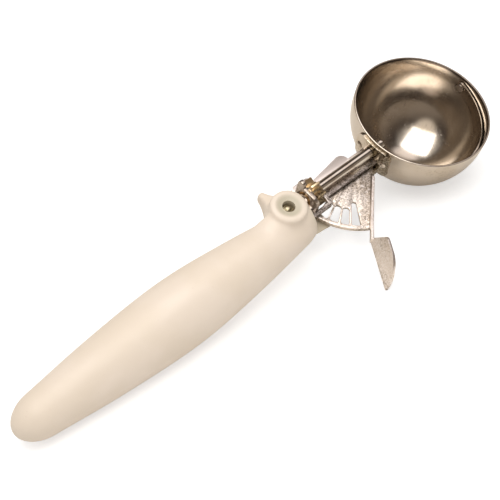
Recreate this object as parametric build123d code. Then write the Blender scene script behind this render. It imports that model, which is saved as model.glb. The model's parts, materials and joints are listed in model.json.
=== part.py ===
from build123d import *
import os
from math import atan2, cos, degrees, pi, radians, sin, sqrt

# Thumb-lever ice cream scoop, in millimetres.
# Origin: centre of the bowl's mouth, in the plane of the rim.
# +X runs from the handle to the bowl, +Z out of the bowl's mouth, and the thumb pad is on the -Y side.
# Pressing the thumb pad towards the handle turns the lever about its vertical rivet. Its slots drive the
# brass pinion, which turns the spindle and sweeps the scraper round the inside of the bowl.

# Bowl, spun from stainless steel sheet
bowl_radius = 27.9
bowl_wall = 0.9
bowl_skirt = 4.2
rim_round = 0.2

# Saddle plate that carries the bowl
saddle_wall = 1.2
saddle_width = 17.0
saddle_top_drop = 0.9
saddle_depth = 15.0
saddle_corner = 3.0
saddle_rivet_radius = 1.0
saddle_rivet_head_radius = 1.6
saddle_rivet_head_height = 0.8
saddle_rivet_spread = 6.0
saddle_rivet_drop = 7.0

# Spindle and its bearings
spindle_radius = 2.2
spindle_neck_radius = 1.5
spindle_end_overhang = 0.8
running_gap = 0.05
end_float = 0.2
bush_wall = 0.75
front_bush_overhang = 1.2
rear_bush_wall = 0.7
bearing_thickness = 1.5
bearing_plus_width = 4.9
bearing_minus_width = 6.2
bearing_height = 6.4
bearing_corner = 3.0
bearing_ear_width = 3.2
bearing_ear_height = 8.8
bearing_ear_round = 1.4
bearing_foot_length = 4.2
bearing_foot_half_width = 4.4
bearing_rivet_radius = 0.7
bearing_rivet_head_radius = 1.3
bearing_rivet_head_height = 0.5
bearing_rivet_spread = 2.6
thrust_washer_thickness = 0.5
thrust_washer_radius = 4.0
thrust_washer_float = 0.05

# Scraper inside the bowl
scraper_gap = 0.35
scraper_thickness = 0.7
scraper_width = 9.0
scraper_end_width = 4.8
scraper_shoulder = 9.0
scraper_rest_deg = 12.0
scraper_hub_radius = 2.4
scraper_hub_length = 2.2
hub_pin_radius = 0.45
hub_pin_overhang = 0.25
far_pin_radius = 1.1
far_pin_head_radius = 2.0
far_pin_head_height = 0.9
far_pin_head_edge = 0.3
far_pin_inner_head_radius = 1.7
far_pin_inner_head_height = 0.8

# Lever: one steel stamping with a slotted fan, a neck and a thumb pad
pivot_standoff = 10.3
pivot_to_pinion = 22.2
slot_pitch_deg = 10.0
slot_count = 6
slot_web = 0.75
slot_end_gap = 0.5
lever_thickness = 1.0
fan_rim_past_pinion = 4.3
fan_edge_offset = 9.1
fan_edge_angle = 222.5
fan_front_reach = 8.2
fan_back_angle = 172.5
fan_stop_side = 1.2
pivot_boss_radius = 5.5
fan_skirt_height = 1.6
fan_flange_height = 3.0
fan_corner = 2.5
slot_length = 7.6
long_slot_extra = 2.9
slot_end_roundness = 0.9
neck_length = 7.5
neck_height = 4.2
neck_bottom = 1.2
neck_slope = 1.8
pad_angle = 239.0
pad_length = 20.3
pad_width = 11.1
pad_lean_deg = 11.0
pad_rise = 4.6
pad_top_length = 10.4
pad_corner = 2.0

# Pinion, brass
pinion_teeth = 8
pinion_face = 4.0
pinion_addendum = 0.8
pinion_root_drop = 1.3
tooth_root_width = 1.9
tooth_tip_width = 0.8
pinion_collar_radius = 3.4
pinion_collar_length = 0.9
pinion_pin_radius = 0.35

# Lever rivet, washers and return spring
pivot_radius = 2.0
pivot_head_radius = 3.3
pivot_head_height = 1.1
pivot_countersink = 1.2
pivot_washer_radius = 3.8
pivot_washer_thickness = 0.5
spring_wire_radius = 0.4
spring_coil_radius = 3.15
spring_pitch = 0.9
spring_turns = 2.875
spring_moving_leg = 7.5
spring_seat_gap = 0.1
spring_lug_length = 1.6
spring_lug_wall = 1.3

# Frame: flat steel plate from the saddle to the tang in the handle
frame_thickness = 1.5
frame_half_width = 4.0
spindle_channel_gap = 0.35
rail_width = 1.7
pinion_side_gap = 0.6
pinion_end_gap = 0.7
wing_length = 19.0
wing_reach = 7.8
wing_back_reach = 4.9
wing_round = 3.2
tang_half_width = 5.0
tang_length = 46.0
stop_pin_radius = 1.0
stop_pin_from_pivot = 6.8
stop_gap = 0.05

# Handle, moulded in ivory plastic; it stands a little to the thumb pad's side of the spindle
rivet_to_bearing = 13.1
rivet_side = 2.6
boss_radius = 7.0
boss_height = 10.7
boss_round = 1.2
boss_recess_radius = 5.0
boss_recess_depth = 0.7
rivet_hole_radius = 2.4
rivet_hole_depth = 3.0
rivet_shank_radius = 1.5
rivet_head_radius = 2.05
rivet_head_height = 1.2
rivet_head_round = 0.6
rivet_washer_thickness = 0.4
lip_gap = 0.7
lip_reach = 14.6
lip_corner = 5.0
tang_gap = 0.1
head_length = 12.0
head_radius = 10.4
head_offset = 0.5
head_drop = 5.1
head_plus_width = 3.2
head_round = 3.5
hook_height = 13.2
hook_tip_width = 1.8
hook_tip_back = 1.3
hook_front = 4.5
hook_front_reach = 7.2
hook_back = 2.8
hook_back_reach = 7.6
hook_base_back = 6.6
hook_thickness = 9.0
hook_tip_thickness = 3.4
hook_rise = 1.0
hook_round = 0.8
handle_length = 120.4
grip_side = 4.4
grip_drop = 5.4
tail_radius = 7.85
tail_station = 9.2
thigh_radius = 10.9
thigh_station = 36.0
belly_radius = 12.7
belly_station = 68.0
waist_radius = 10.6
waist_station = 98.0
throat_radius = 9.1
throat_station = 111.0
front_radius = 7.2
front_station = 126.0

# Places worked out from the sizes above
axis_z = -bowl_skirt
inner_radius = bowl_radius - bowl_wall
saddle_radius = bowl_radius + saddle_wall
pivot_x = -(saddle_radius + pivot_standoff)
pinion_x = pivot_x - pivot_to_pinion
fan_radius = pivot_to_pinion + fan_rim_past_pinion
pitch_radius = pivot_to_pinion * slot_pitch_deg * pinion_teeth / 360
pinion_radius = pitch_radius + pinion_addendum
root_radius = pitch_radius - pinion_root_drop
pinion_front = pinion_x + pinion_face / 2
pinion_back = pinion_x - pinion_face / 2
collar_front = pinion_front + pinion_collar_length
lever_top = axis_z - pitch_radius + lever_thickness / 2
lever_bottom = lever_top - lever_thickness
skirt_bottom = lever_bottom - fan_skirt_height + lever_thickness
frame_bottom = lever_top + pivot_washer_thickness
frame_top = frame_bottom + frame_thickness
bearing_front = pinion_back - thrust_washer_thickness
bearing_back = bearing_front - bearing_thickness
window_half = sqrt(pinion_radius**2 - (axis_z - frame_top) ** 2) + pinion_side_gap
rail_half = window_half + rail_width
window_front = collar_front + pinion_end_gap
blade_radius = inner_radius - scraper_gap
neck_shoulder = -(saddle_radius + front_bush_overhang + end_float)
bush_radius = spindle_neck_radius + running_gap + bush_wall
rivet_x = bearing_back - rivet_to_bearing
rivet_y = -rivet_side
tail_x = rivet_x - handle_length
boss_top = axis_z + boss_height
lip_top = skirt_bottom - lip_gap
head_bottom = -head_drop - head_radius
bush_back = -saddle_radius - front_bush_overhang
blade_inner = blade_radius - scraper_thickness
hub_front = -blade_inner + scraper_hub_length
hub_pin_x = hub_front - scraper_hub_length / 2
far_pin_inner_face = sqrt(blade_inner**2 - far_pin_inner_head_radius**2) - end_float
spindle_back = bearing_back - spindle_end_overhang
rear_bush_radius = spindle_radius + running_gap + rear_bush_wall
slot_inner_radius = fan_radius - lever_thickness - slot_end_gap - slot_length
washer_bottom = lever_bottom - pivot_washer_thickness
spring_top = washer_bottom - spring_seat_gap - spring_wire_radius
spring_bottom = spring_top - spring_turns * spring_pitch
rivet_seat = spring_bottom - spring_wire_radius - spring_seat_gap
lug_back = -saddle_radius - spring_lug_length
lug_half = spring_wire_radius + spring_lug_wall
lug_y = -spring_coil_radius
spring_slope = spring_pitch / (2 * pi * spring_coil_radius)
lug_z = spring_bottom - (lug_back - pivot_x) * spring_slope
lug_hole_end = -saddle_radius + spring_seat_gap
tang_back = bearing_back - tang_length
stop_pin_x = pivot_x + stop_pin_from_pivot
stop_pin_y = fan_stop_side + stop_gap + stop_pin_radius
bearing_rivet_x = bearing_back - bearing_foot_length + bearing_rivet_head_radius + running_gap
upper_seat = boss_top - boss_recess_depth - rivet_hole_depth
lower_seat = head_bottom + rivet_hole_depth


# Plain solids between two planes

def rod_z(radius, low, high, x=0.0, y=0.0):
    """Upright rod."""
    return Pos(x, y, (low + high) / 2) * Cylinder(radius, high - low)


def rod_x(radius, back, front, y=0.0, z=axis_z):
    """Rod along the spindle's direction, on the spindle's axis unless told otherwise."""
    return Pos((back + front) / 2, y, z) * Rot(0, 90, 0) * Cylinder(radius, front - back)


def block(back, front, right, left, low, high):
    """Box between its six faces."""
    middle = Pos((back + front) / 2, (right + left) / 2, (low + high) / 2)
    return middle * Box(front - back, left - right, high - low)


def plate(outline, low, high):
    """Flat plate of a given outline in plan."""
    return extrude(Plane.XY.offset(low) * make_face(outline), high - low)


def low_dome(radius, height):
    """Slice of a ball, standing on its flat side."""
    ball = (radius**2 + height**2) / (2 * height)
    rim_angle = degrees(atan2(ball - height, radius))
    bow = CenterArc((0, height - ball), ball, rim_angle, 90 - rim_angle)
    profile = make_face([bow, Polyline((0, height), (0, 0), (radius, 0))])
    return revolve(Plane.XZ * profile, Axis.Z)


def polar(radius, angle, x=0.0, y=0.0):
    """Point at a distance and angle in plan."""
    return (x + radius * cos(radians(angle)), y + radius * sin(radians(angle)))


def save(name, solid):
    export_step(solid, f"parts/{name}.step")


# Bowl and what is fixed to it

def cup(radius, top):
    """Half ball under a straight skirt that ends at the given height."""
    half_ball = Pos(0, 0, axis_z) * Sphere(radius, arc_size1=-90, arc_size2=0, align=None)
    return half_ball + rod_z(radius, axis_z, top)


def saddle_rivet_planes():
    """Where each saddle rivet goes through the wall, square to it."""
    planes = []
    for side in (-1, 1):
        rise = -saddle_rivet_drop - axis_z
        depth = sqrt(bowl_radius**2 - saddle_rivet_spread**2 - rise**2)
        outward = Vector(-depth, side * saddle_rivet_spread, rise)
        planes.append(Plane(Vector(0, 0, axis_z) + outward, z_dir=outward))
    return planes


def saddle_rivet_shanks(inner, outer):
    """Shanks of both saddle rivets, between two distances from the centre of the ball."""
    shank = Pos(0, 0, (inner + outer) / 2 - bowl_radius) * Cylinder(saddle_rivet_radius, outer - inner)
    return [plane * shank for plane in saddle_rivet_planes()]


def bowl():
    solid = cup(bowl_radius, 0) - cup(inner_radius, bowl_wall)
    rim = solid.edges().filter_by(GeomType.CIRCLE).filter_by(lambda edge: abs(edge.center().Z) < rim_round)
    solid = fillet(rim, rim_round)
    solid -= rod_x(bush_radius, -saddle_radius, 0)
    solid -= rod_x(far_pin_radius, 0, saddle_radius)
    for shank in saddle_rivet_shanks(inner_radius - bowl_wall, saddle_radius):
        solid -= shank
    return solid


def bowl_saddle():
    shell = cup(saddle_radius, 0) - cup(bowl_radius, bowl_wall)
    pad = RectangleRounded(saddle_width, saddle_depth, saddle_corner)
    pad_plane = Plane((0, 0, -saddle_top_drop - saddle_depth / 2), x_dir=(0, 1, 0), z_dir=(-1, 0, 0))
    solid = shell & extrude(pad_plane * pad, saddle_radius + saddle_wall)
    lug = block(lug_back, -bowl_radius / 2, lug_y - lug_half, lug_y + lug_half, lug_z - lug_half, lug_z + lug_half)
    solid += lug - cup(saddle_radius - saddle_wall / 2, 0)
    start, direction = fixed_leg_start()
    hole = Plane(start, z_dir=direction) * Circle(spring_wire_radius + spring_seat_gap)
    solid -= extrude(hole, (lug_hole_end - pivot_x) / direction.X)
    solid -= rod_x(bush_radius, -saddle_radius - saddle_wall, 0)
    for shank in saddle_rivet_shanks(inner_radius, saddle_radius + saddle_wall):
        solid -= shank
    return solid


def saddle_rivets():
    """Rivets flush with the inside of the bowl, with low domed heads outside."""
    dome = low_dome(saddle_rivet_head_radius, saddle_rivet_head_height)
    solids = []
    for plane, shank in zip(saddle_rivet_planes(), saddle_rivet_shanks(inner_radius, saddle_radius)):
        solids.append((shank + plane * Pos(0, 0, saddle_wall) * dome) - cup(inner_radius, bowl_wall))
    return Compound(children=solids)


def front_bush():
    """Plain bush through the saddle and the bowl's wall, trimmed flush with the inside."""
    solid = rod_x(bush_radius, bush_back, -inner_radius + bowl_wall) - cup(inner_radius, bowl_wall)
    return solid - rod_x(spindle_neck_radius + running_gap, bush_back, 0)


def far_pivot_pin():
    """Headed pin through the far wall, on which the far end of the scraper turns."""
    edge = bowl_radius + far_pin_head_edge
    solid = rod_x(far_pin_head_radius, inner_radius, edge) - cup(bowl_radius, bowl_wall)
    dome = low_dome(far_pin_head_radius, far_pin_head_height - far_pin_head_edge)
    solid += Pos(edge, 0, axis_z) * Rot(0, 90, 0) * dome
    solid += rod_x(far_pin_radius, far_pin_inner_face, edge)
    return solid + rod_x(far_pin_inner_head_radius, far_pin_inner_face - far_pin_inner_head_height, far_pin_inner_face)


# Scraper, spindle and pinion, which turn together

def scraper_blade():
    """Thin strip of a ball's surface, with an eye at each end on the spindle's axis."""
    shell = Sphere(blade_radius) - Sphere(blade_inner)
    half_end = scraper_end_width / 2
    half = scraper_width / 2
    outline = Polyline(
        (-blade_radius, -half_end), (-scraper_shoulder, -half), (scraper_shoulder, -half),
        (blade_radius, -half_end), (blade_radius, half_end), (scraper_shoulder, half),
        (-scraper_shoulder, half), (-blade_radius, half_end), close=True,
    )
    strip = extrude(Plane.XY * make_face(outline), -blade_radius)
    strip += rod_x(half_end, -blade_radius, blade_radius, z=0)
    solid = shell & strip
    solid -= rod_x(spindle_neck_radius, -blade_radius, 0, z=0)
    solid -= rod_x(far_pin_radius + running_gap, 0, blade_radius, z=0)
    return Pos(0, 0, axis_z) * Rot(scraper_rest_deg - 90, 0, 0) * solid


def scraper_hub():
    """Collar on the neck of the spindle that carries the near end of the scraper."""
    solid = rod_x(scraper_hub_radius, -blade_radius, hub_front) & Pos(0, 0, axis_z) * Sphere(blade_inner)
    solid -= rod_x(spindle_neck_radius, -blade_radius, hub_front)
    return solid - hub_pin()


def hub_pin():
    reach = scraper_hub_radius + hub_pin_overhang
    return rod_z(hub_pin_radius, axis_z - reach, axis_z + reach, x=hub_pin_x)


def spindle():
    """Polished rod, turned down to a neck at the bowl's end."""
    solid = rod_x(spindle_radius, spindle_back, neck_shoulder)
    solid += rod_x(spindle_neck_radius, neck_shoulder, hub_front + spindle_end_overhang)
    solid -= hub_pin()
    return solid - pinion_pin()


def pinion():
    """Brass pinion with straight-sided teeth and a collar for its cross pin."""
    section = Circle(root_radius)
    for tooth in range(pinion_teeth):
        angle = tooth * 360 / pinion_teeth - 90
        outline = Polyline(
            (root_radius - pinion_addendum, -tooth_root_width / 2), (root_radius, -tooth_root_width / 2),
            (pinion_radius, -tooth_tip_width / 2), (pinion_radius, tooth_tip_width / 2),
            (root_radius, tooth_root_width / 2), (root_radius - pinion_addendum, tooth_root_width / 2),
            close=True,
        )
        section += Rot(0, 0, angle) * make_face(outline)
    solid = extrude(Plane((pinion_back, 0, axis_z), x_dir=(0, 1, 0), z_dir=(1, 0, 0)) * section, pinion_face)
    solid += rod_x(pinion_collar_radius, pinion_back, collar_front)
    solid -= rod_x(spindle_radius, pinion_back, collar_front)
    return solid - pinion_pin()


def pinion_pin():
    reach = pinion_collar_radius + hub_pin_overhang
    return rod_z(pinion_pin_radius, axis_z - reach, axis_z + reach, x=collar_front - pinion_collar_length / 2)


def thrust_washer():
    solid = rod_x(thrust_washer_radius, bearing_front, bearing_front + thrust_washer_thickness - thrust_washer_float)
    return solid - rod_x(spindle_radius + running_gap, bearing_back, pinion_back)


# Lever

def fan_edge_point(along):
    """Point on the fan's slanted edge, at a distance along it from abreast of the rivet."""
    foot = polar(fan_edge_offset, fan_edge_angle + 90, pivot_x)
    return polar(along, fan_edge_angle, *foot)


def fan_outline():
    """Outline of the slotted plate, from its stop edge round to the far end of its arc."""
    edge_end = sqrt(fan_radius**2 - fan_edge_offset**2)
    corner = fan_edge_point(edge_end)
    corner_angle = degrees(atan2(corner[1], corner[0] - pivot_x)) % 360
    far_end = polar(fan_radius, fan_back_angle, pivot_x)
    middle = polar(fan_radius, (corner_angle + fan_back_angle) / 2, pivot_x)
    front = pivot_x + fan_front_reach
    slope = radians(fan_edge_angle)
    foot = fan_edge_point(0)
    front_corner = (front, foot[1] + (front - foot[0]) * sin(slope) / cos(slope))
    arc = ThreePointArc(corner, middle, far_end)
    sides = Polyline(far_end, (pivot_x, fan_stop_side), (front, fan_stop_side), front_corner, corner)
    return [arc, sides]


def slot_cutter(number):
    """Tapered slot: a gap between two webs of even width, rounded at both ends."""
    angle = 180 + number * slot_pitch_deg
    outer = fan_radius - lever_thickness - slot_end_gap
    inner = slot_inner_radius
    if number == slot_count - 1:
        inner -= long_slot_extra
    half_pitch = radians(slot_pitch_deg / 2)
    inner_half = inner * sin(half_pitch) - slot_web / 2
    outer_half = outer * sin(half_pitch) - slot_web / 2
    outline = Polyline(
        (inner, -inner_half), (outer, -outer_half), (outer, outer_half), (inner, inner_half), close=True
    )
    face = make_face(outline)
    face = fillet(face.vertices(), inner_half * slot_end_roundness)
    cutter = extrude(face, lever_thickness * 2)
    return Pos(pivot_x, 0, lever_bottom - lever_thickness / 2) * Rot(0, 0, angle) * cutter


def fan_plate():
    solid = plate(fan_outline(), lever_bottom, lever_top)
    corners = solid.edges().filter_by(Axis.Z).filter_by(lambda edge: edge.center().X > pivot_x + fan_front_reach / 2)
    solid = fillet(corners, fan_corner)
    solid += rod_z(pivot_boss_radius, lever_bottom, lever_top, pivot_x)
    return solid


def arc_skirt():
    """Edge of the fan's arc, turned down and rounded."""
    ring = rod_z(fan_radius, skirt_bottom, lever_top, pivot_x)
    ring -= rod_z(fan_radius - lever_thickness, skirt_bottom, lever_top, pivot_x)
    corner = fan_edge_point(sqrt(fan_radius**2 - fan_edge_offset**2))
    corner_angle = degrees(atan2(corner[1], corner[0] - pivot_x)) % 360
    middle_angle = (corner_angle + fan_back_angle) / 2
    ends = [polar(2 * fan_radius, angle, pivot_x) for angle in (fan_back_angle, middle_angle, corner_angle)]
    sector = Polyline((pivot_x, 0), *ends, close=True)
    return ring & plate(sector, skirt_bottom, lever_top)


def upright(start, direction, outline, thickness, lean=0.0):
    """Sheet metal wall: an outline of (along, up) points on an upright plane that may lean outwards."""
    along = Vector(cos(radians(direction)), sin(radians(direction)), 0)
    outward = Vector(-along.Y, along.X, 0)
    up = Vector(0, 0, 1) * cos(radians(lean)) + outward * sin(radians(lean))
    plane = Plane(Vector(*start), x_dir=along, z_dir=along.cross(up))
    return extrude(plane * outline, thickness)


def side_flange():
    """Edge of the fan turned up beside the slots, which runs on past the corner as the neck."""
    low = -lever_thickness
    corner = sqrt(fan_radius**2 - fan_edge_offset**2)
    end = corner + neck_length
    outline = make_face(Polyline(
        (0, low), (corner, low), (corner + neck_slope, neck_bottom), (end, neck_bottom), (end, neck_height),
        (corner, fan_flange_height), (fan_flange_height, fan_flange_height), (0, 0), close=True,
    ))
    return upright((*fan_edge_point(0), lever_top), fan_edge_angle, outline, lever_thickness)


def pad_start():
    return fan_edge_point(sqrt(fan_radius**2 - fan_edge_offset**2) + neck_length - lever_thickness / 2)


def thumb_pad():
    """Broad leaning pad: level lower edge, sloped inner edge and a round outer corner."""
    low = neck_bottom
    top = pad_width + low
    lower = Line((0, low), (pad_length, low))
    sag = sin(radians(45))
    bow_middle = (pad_top_length + (pad_length - pad_top_length) * sag, low + pad_width * sag)
    bow = Spline((pad_length, low), bow_middle, (pad_top_length, top), tangents=[(0, 1), (-1, 0)])
    upper = Polyline((pad_top_length, top), (pad_rise, top), (0, neck_height), (0, low))
    face = make_face([lower, bow, upper])
    corner = face.vertices().sort_by_distance((pad_rise, top, 0))[0]
    face = fillet(corner, pad_corner)
    return upright((*pad_start(), lever_top), pad_angle, face, lever_thickness, pad_lean_deg)


def lever():
    solid = fan_plate() + arc_skirt()
    for number in range(slot_count):
        solid -= slot_cutter(number)
    solid += side_flange() + thumb_pad()
    solid -= rod_z(pivot_radius + running_gap, skirt_bottom, lever_top, pivot_x)
    return solid


# Pivot of the lever

def lever_rivet():
    """Flush-headed rivet on which the lever turns, closed over below the spring."""
    solid = rod_z(pivot_radius, rivet_seat, frame_top, pivot_x)
    solid += countersink()
    solid += rod_z(pivot_head_radius, rivet_seat - pivot_head_height, rivet_seat, pivot_x)
    return solid - spindle_channel()


def countersink():
    cone = Cone(pivot_radius, pivot_radius + pivot_countersink, pivot_countersink)
    return Pos(pivot_x, 0, frame_top - pivot_countersink / 2) * cone


def washer_z(outer, inner, low, high, x):
    return rod_z(outer, low, high, x) - rod_z(inner, low, high, x)


def upper_pivot_washer():
    return washer_z(pivot_washer_radius, pivot_radius, lever_top, frame_bottom, pivot_x)


def lower_pivot_washer():
    return washer_z(pivot_washer_radius, pivot_radius, washer_bottom, lever_bottom, pivot_x)


def fixed_leg_start():
    """Point where the spring's coil ends, and the way its fixed leg runs from there."""
    return Vector(pivot_x, -spring_coil_radius, spring_bottom), Vector(1, 0, -spring_slope).normalized()


def return_spring():
    """Left-hand torsion spring: one leg in the saddle's lug, the other reaching under the fan."""
    coil = Helix(spring_pitch, spring_turns * spring_pitch, spring_coil_radius, lefthand=True)
    coil = Pos(pivot_x, 0, spring_bottom) * Rot(0, 0, -90) * coil
    start, direction = fixed_leg_start()
    leg_length = (lug_hole_end - spring_seat_gap - pivot_x) / direction.X
    fixed_leg = Line(start + direction * leg_length, coil @ 0)
    moving_leg = Line(coil @ 1, coil @ 1 + (coil % 1) * spring_moving_leg)
    path = Wire([fixed_leg, coil.edges()[0], moving_leg])
    return sweep(Plane(path @ 0, z_dir=path % 0) * Circle(spring_wire_radius), path)


# Frame and what it carries

def spindle_channel():
    return rod_x(spindle_radius + spindle_channel_gap, spindle_back - bearing_foot_length, 0)


def wing():
    """Tapered tab of the frame beside the spindle, with a round outer corner."""
    front = window_front + rail_width + wing_length
    back = window_front + rail_width
    outline = Polyline((back, 0), (back, wing_back_reach), (front, wing_reach), (front, 0), close=True)
    tab = plate(outline, frame_bottom, frame_top)
    return fillet(tab.edges().filter_by(Axis.Z).sort_by(Axis.Y)[-1], wing_round)


def frame():
    """Flat steel plate: strip, wing, window for the pinion, and tang."""
    tang = block(tang_back, bearing_front, rivet_y - tang_half_width, rivet_y + tang_half_width,
                 frame_bottom, frame_top)
    tang = fillet(tang.edges().filter_by(Axis.Z).group_by(Axis.X)[0], tang_half_width / 2)
    strip = block(bearing_back, 0, -frame_half_width, frame_half_width, frame_bottom, frame_top)
    ring = block(bearing_back, window_front + rail_width, -rail_half, rail_half, frame_bottom, frame_top)
    ring = fillet(ring.edges().filter_by(Axis.Z), rail_width)
    foot_back = bearing_back - bearing_foot_length
    strip += block(foot_back, bearing_back, -bearing_foot_half_width, bearing_foot_half_width,
                   frame_bottom, frame_top)
    solid = tang + strip + ring + wing()
    solid -= block(bearing_front, window_front, -window_half, window_half, frame_bottom, frame_top)
    solid -= cup(saddle_radius, frame_thickness)
    solid -= spindle_channel()
    solid -= rod_x(rear_bush_radius, bearing_back, bearing_front)
    solid -= rod_z(pivot_radius, frame_bottom, frame_top, pivot_x)
    solid -= countersink()
    solid -= rod_z(stop_pin_radius, frame_bottom, frame_top, stop_pin_x, stop_pin_y)
    solid -= rod_z(rivet_shank_radius + running_gap, frame_bottom, frame_top, rivet_x, rivet_y)
    for side in (-1, 1):
        solid -= rod_z(bearing_rivet_radius, frame_bottom, frame_top, bearing_rivet_x, side * bearing_rivet_spread)
    return solid


def rear_bearing():
    """Angle bracket: upright plate with round upper corners for the bush, a guard ear, and a foot on the frame."""
    upright_plate = block(bearing_back, bearing_front, -bearing_minus_width, bearing_plus_width, frame_top,
                          frame_top + bearing_height)
    upright_plate = fillet(upright_plate.edges().filter_by(Axis.X).group_by(Axis.Z)[-1], bearing_corner)
    ear = block(bearing_back, bearing_front, bearing_plus_width - bearing_ear_width, bearing_plus_width, frame_top,
                frame_top + bearing_ear_height)
    upright_plate += fillet(ear.edges().filter_by(Axis.X).group_by(Axis.Z)[-1], bearing_ear_round)
    foot = block(bearing_back - bearing_foot_length, bearing_back, -bearing_foot_half_width, bearing_foot_half_width,
                 frame_top, frame_top + bearing_thickness)
    solid = upright_plate + foot
    solid -= rod_x(rear_bush_radius, bearing_back, bearing_front)
    solid -= spindle_channel() & block(tang_back, bearing_back, -rail_half, rail_half, frame_bottom, axis_z)
    for side in (-1, 1):
        solid -= rod_z(bearing_rivet_radius, frame_bottom, axis_z, bearing_rivet_x, side * bearing_rivet_spread)
    return solid


def rear_bush():
    solid = rod_x(rear_bush_radius, bearing_back, bearing_front)
    return solid - rod_x(spindle_radius + running_gap, bearing_back, bearing_front)


def bearing_rivets():
    solids = []
    top = frame_top + bearing_thickness
    for side in (-1, 1):
        y = side * bearing_rivet_spread
        rivet = rod_z(bearing_rivet_radius, frame_bottom, top, bearing_rivet_x, y)
        rivet += rod_z(bearing_rivet_head_radius, top, top + bearing_rivet_head_height, bearing_rivet_x, y)
        solids.append(rivet)
    return Compound(children=solids)


def stop_pin():
    solid = rod_z(stop_pin_radius, lever_bottom - end_float, frame_top, stop_pin_x, stop_pin_y)
    return solid - spindle_channel()


# Handle

def grip():
    """Turned body of the handle, from its round tail to the front of the head."""
    stations = [
        (tail_station, tail_radius), (thigh_station, thigh_radius), (belly_station, belly_radius),
        (waist_station, waist_radius), (throat_station, throat_radius), (front_station, front_radius),
    ]
    points = [(0, 0)] + [(radius, station) for station, radius in stations]
    side = Spline(*points, tangents=[(1, 0), (0, 1)])
    profile = make_face([side, Polyline(points[-1], (0, front_station), (0, 0))])
    solid = revolve(Plane.XZ * profile, Axis.Z)
    return Pos(tail_x, -grip_side, -grip_drop) * Rot(0, 90, -90) * solid


def head():
    """Broad front of the handle round the tang: round below, flat on the hook's side."""
    back = rivet_x - head_length
    barrel = rod_x(head_radius, back, rivet_x + lip_reach, -head_offset, -head_drop)
    barrel = fillet(barrel.edges().group_by(Axis.X)[0], head_round)
    side = block(back, rivet_x + lip_reach, -2 * head_radius, head_plus_width, head_bottom, head_radius)
    side = fillet(side.edges().filter_by(Axis.Z).group_by(Axis.X)[-1], lip_corner)
    side = fillet(side.edges().filter_by(Axis.X).group_by(Axis.Y)[-1], head_round)
    return barrel & side


def boss():
    solid = rod_z(boss_radius, axis_z, boss_top, rivet_x)
    return fillet(solid.edges().group_by(Axis.Z)[-1], boss_round)


def hook():
    """Finger stop that stands out of the head on the side away from the thumb pad."""
    tip_back = rivet_x - hook_tip_back
    outline = Polyline(
        (rivet_x + hook_front, 0), (rivet_x + hook_front, hook_front_reach), (tip_back + hook_tip_width, hook_height),
        (tip_back, hook_height), (rivet_x - hook_back, hook_back_reach), (rivet_x - hook_base_back, 0), close=True,
    )
    middle = axis_z + hook_rise
    solid = plate(outline, middle - hook_thickness / 2, middle + hook_thickness / 2)
    solid = fillet(solid.edges().filter_by(Axis.Z).group_by(Axis.Y)[-1], hook_round)
    wedge = Polyline(
        (0, middle - hook_thickness / 2), (hook_height, middle - hook_tip_thickness / 2),
        (hook_height, middle + hook_tip_thickness / 2), (0, middle + hook_thickness / 2), close=True,
    )
    return solid & extrude(Plane.YZ.offset(rivet_x - hook_height) * make_face(wedge), 2 * hook_height)


def handle():
    """Ivory plastic moulding, with a slot for the tang and a recess for the rivet."""
    solid = grip() + head() + boss() + hook()
    solid -= block(rivet_x + boss_radius, 0, -bowl_radius, bowl_radius, lip_top, bowl_radius)
    solid -= block(tang_back - tang_gap, 0, -tang_half_width - tang_gap, tang_half_width + tang_gap,
                   frame_bottom - tang_gap, frame_top + tang_gap)
    solid -= rod_z(boss_recess_radius, boss_top - boss_recess_depth, boss_top, rivet_x)
    solid -= rod_z(rivet_hole_radius, upper_seat, boss_top, rivet_x)
    solid -= rod_z(rivet_hole_radius, head_bottom - tang_gap, lower_seat, rivet_x)
    return Pos(0, rivet_y, 0) * (solid - rod_z(rivet_shank_radius, lower_seat, upper_seat, rivet_x))


def handle_rivet():
    """Rivet through the handle and the tang, with a head over a washer at each end."""
    upper = upper_seat + rivet_washer_thickness
    lower = lower_seat - rivet_washer_thickness
    solid = rod_z(rivet_shank_radius, lower, upper, rivet_x)
    top = rod_z(rivet_head_radius, upper, upper + rivet_head_height, rivet_x)
    top = fillet(top.edges().group_by(Axis.Z)[-1], rivet_head_round)
    bottom = rod_z(rivet_head_radius, lower - rivet_head_height, lower, rivet_x)
    bottom = fillet(bottom.edges().group_by(Axis.Z)[0], rivet_head_round)
    return Pos(0, rivet_y, 0) * (solid + top + bottom)


def rivet_washers():
    outer = rivet_hole_radius - running_gap
    upper = washer_z(outer, rivet_shank_radius, upper_seat, upper_seat + rivet_washer_thickness, rivet_x)
    lower = washer_z(outer, rivet_shank_radius, lower_seat - rivet_washer_thickness, lower_seat, rivet_x)
    return Compound(children=[Pos(0, rivet_y, 0) * upper, Pos(0, rivet_y, 0) * lower])


pieces = [
    bowl, bowl_saddle, saddle_rivets, front_bush, far_pivot_pin, scraper_blade, scraper_hub, hub_pin, spindle, pinion,
    pinion_pin, thrust_washer, lever, lever_rivet, upper_pivot_washer, lower_pivot_washer, return_spring, frame,
    rear_bearing, rear_bush, bearing_rivets, stop_pin, handle, handle_rivet, rivet_washers,
]
os.makedirs("parts", exist_ok=True)
for piece in pieces:
    save(piece.__name__, piece())
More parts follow.
